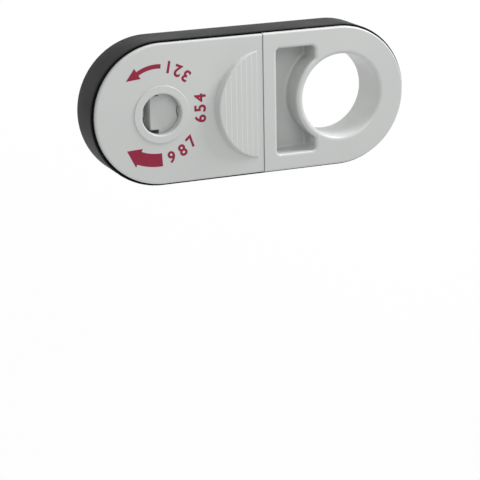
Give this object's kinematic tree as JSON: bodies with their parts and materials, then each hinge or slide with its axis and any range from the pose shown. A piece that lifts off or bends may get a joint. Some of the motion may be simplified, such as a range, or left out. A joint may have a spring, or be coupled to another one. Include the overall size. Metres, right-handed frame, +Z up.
{
  "type": "coaxial cable stripper",
  "caption": "Flat pocket cable stripper with a finger ring, a thumb slider with a cable hole, a rocking blade inside and a stretch band that draws it shut.",
  "frame": {"origin": "centre of the outline on the back face that the tool lies on", "axes": "+X along the tool towards the finger ring, +Z up out of the front face with the thumb pad"},
  "size_m": [0.0996, 0.0428, 0.0175],
  "materials": {
    "light_grey_abs": "satin moulded ABS",
    "black_rubber": "matte moulded rubber",
    "steel_pin": "ground dowel",
    "blade_steel": "ground and honed",
    "zinc_plated_screw": "zinc plated"
  },
  "bodies": {
    "ring_half": {"ring_body": "light_grey_abs", "ring_rear_cover": "light_grey_abs", "ring_cover_screws": "zinc_plated_screw", "stretch_band": "black_rubber", "rocker_pin": "steel_pin", "blade_keeper": "light_grey_abs", "keeper_screws": "zinc_plated_screw"},
    "slider": {"slider_cover": "light_grey_abs", "slider_rear_cover": "light_grey_abs", "slider_screws": "zinc_plated_screw"},
    "blade_rocker": {"blade_holder": "light_grey_abs", "blade": "blade_steel", "blade_screw": "zinc_plated_screw"}
  },
  "joints": [
    {"name": "slider_open", "type": "slide", "parent": "ring_half", "child": "slider", "axis": [-1, 0, 0], "range_m": [0, 0.008], "stiffness_N_per_m": 1000, "springref_m": -0.01, "deforming": ["stretch_band"]},
    {"name": "blade_rock", "type": "hinge", "parent": "ring_half", "child": "blade_rocker", "pos_m": [-0.01965, 0, 0.0075], "axis": [0, 0, 1], "range_deg": [-7, 7]}
  ]
}
